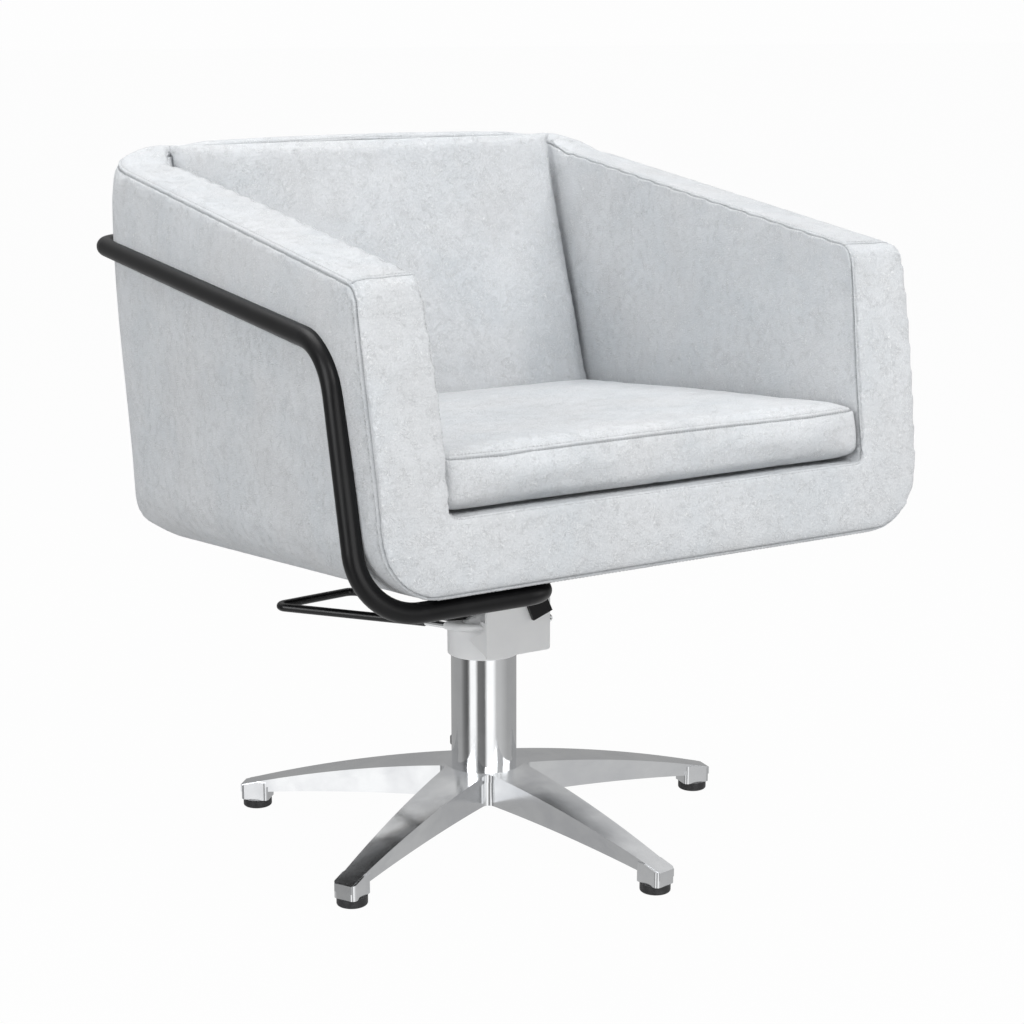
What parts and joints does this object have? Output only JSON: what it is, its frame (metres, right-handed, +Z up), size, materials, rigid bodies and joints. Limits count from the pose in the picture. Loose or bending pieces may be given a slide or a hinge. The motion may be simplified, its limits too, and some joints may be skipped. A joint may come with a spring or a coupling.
{
  "type": "styling chair",
  "caption": "Salon styling chair: upholstered tub seat and loose cushion on a polished star base with a foot-pumped lift column, swivel head and bent tube frame.",
  "frame": {"origin": "on the floor under the column's axis", "axes": "+Z up, the sitter faces -Y, +X is on the right of someone facing the chair's front"},
  "size_m": [0.694, 0.6726, 0.7853],
  "materials": {
    "fabric": "short nap suede cloth",
    "polished_aluminium": "polished casting",
    "chrome": "bright chrome plate",
    "head_grey": "satin light grey enamel",
    "black_steel": "satin black powder coat",
    "black_coating": "gloss black dip coat",
    "rubber": "matt",
    "glide_rubber": "matt moulded",
    "steel": "turned or zinc plated",
    "bronze": "sintered bearing bronze",
    "wood": "raw plywood and pine",
    "webbing": "woven elastic tape",
    "dust_cloth": "black non-woven cloth"
  },
  "bodies": {
    "base": {"base_casting": "polished_aluminium", "foot_pad_1": "glide_rubber", "foot_pad_2": "glide_rubber", "foot_pad_3": "glide_rubber", "foot_pad_4": "glide_rubber", "foot_pad_5": "glide_rubber", "pad_studs": "steel", "column_tube": "chrome", "column_plug": "steel", "hub_screw": "steel", "lift_rod": "steel", "lift_piston": "steel", "piston_seal": "rubber", "guide_bush": "bronze", "wiper_ring": "rubber"},
    "ram": {"ram_tube": "chrome", "rod_gland": "bronze", "stop_ring": "steel", "ram_cap": "steel", "thrust_washer": "bronze"},
    "pedal": {"pedal_shaft": "steel", "pedal_cam": "steel", "shaft_nut": "chrome", "pedal_sleeve": "head_grey", "pedal_rod": "chrome", "pedal_grip": "black_coating"},
    "plunger": {"pump_plunger": "steel"},
    "seat": {"arm_core_left": "wood", "arm_core_right": "wood", "arm_left": "fabric", "arm_right": "fabric", "back_core": "wood", "back_pad": "fabric", "back_shell": "fabric", "bracket_bolts": "steel", "bracket_strap": "black_steel", "cheek_bolts": "steel", "dust_cover": "dust_cloth", "flange_screws": "steel", "frame_tube_left": "black_steel", "frame_tube_rear": "black_steel", "frame_tube_right": "black_steel", "front_rail": "fabric", "front_rail_core": "wood", "head_flange": "black_steel", "head_guard": "head_grey", "lever_stop": "black_steel", "plunger_spring": "steel", "pump_barrel": "steel", "pump_head": "head_grey", "seat_board": "wood", "seat_bracket": "black_steel", "seat_cushion": "fabric", "seat_rails": "wood", "shaft_bushes": "bronze", "swivel_bush": "bronze", "threaded_inserts": "steel", "torsion_spring": "steel", "tube_spigots": "steel", "webbing": "webbing"}
  },
  "joints": [
    {"name": "seat_lift", "type": "slide", "parent": "base", "child": "ram", "axis": [0, 0, 1], "range_m": [0, 0.12]},
    {"name": "seat_swivel", "type": "hinge", "parent": "ram", "child": "seat", "pos_m": [0, 0, 0.265], "axis": [0, 0, 1], "continuous": true},
    {"name": "pedal_press", "type": "hinge", "parent": "seat", "child": "pedal", "pos_m": [0, -0.05, 0.253], "axis": [1, 0, 0], "range_deg": [-25, 0], "stiffness_Nm_per_rad": 3, "springref_deg": 20.05},
    {"name": "plunger_stroke", "type": "slide", "parent": "seat", "child": "plunger", "axis": [0, 0, 1], "range_m": [0, 0.005], "deforming": ["plunger_spring"]}
  ],
  "couplings": [
    {"joint": "plunger_stroke", "follows": "pedal_press", "m_per_rad": -0.011}
  ]
}
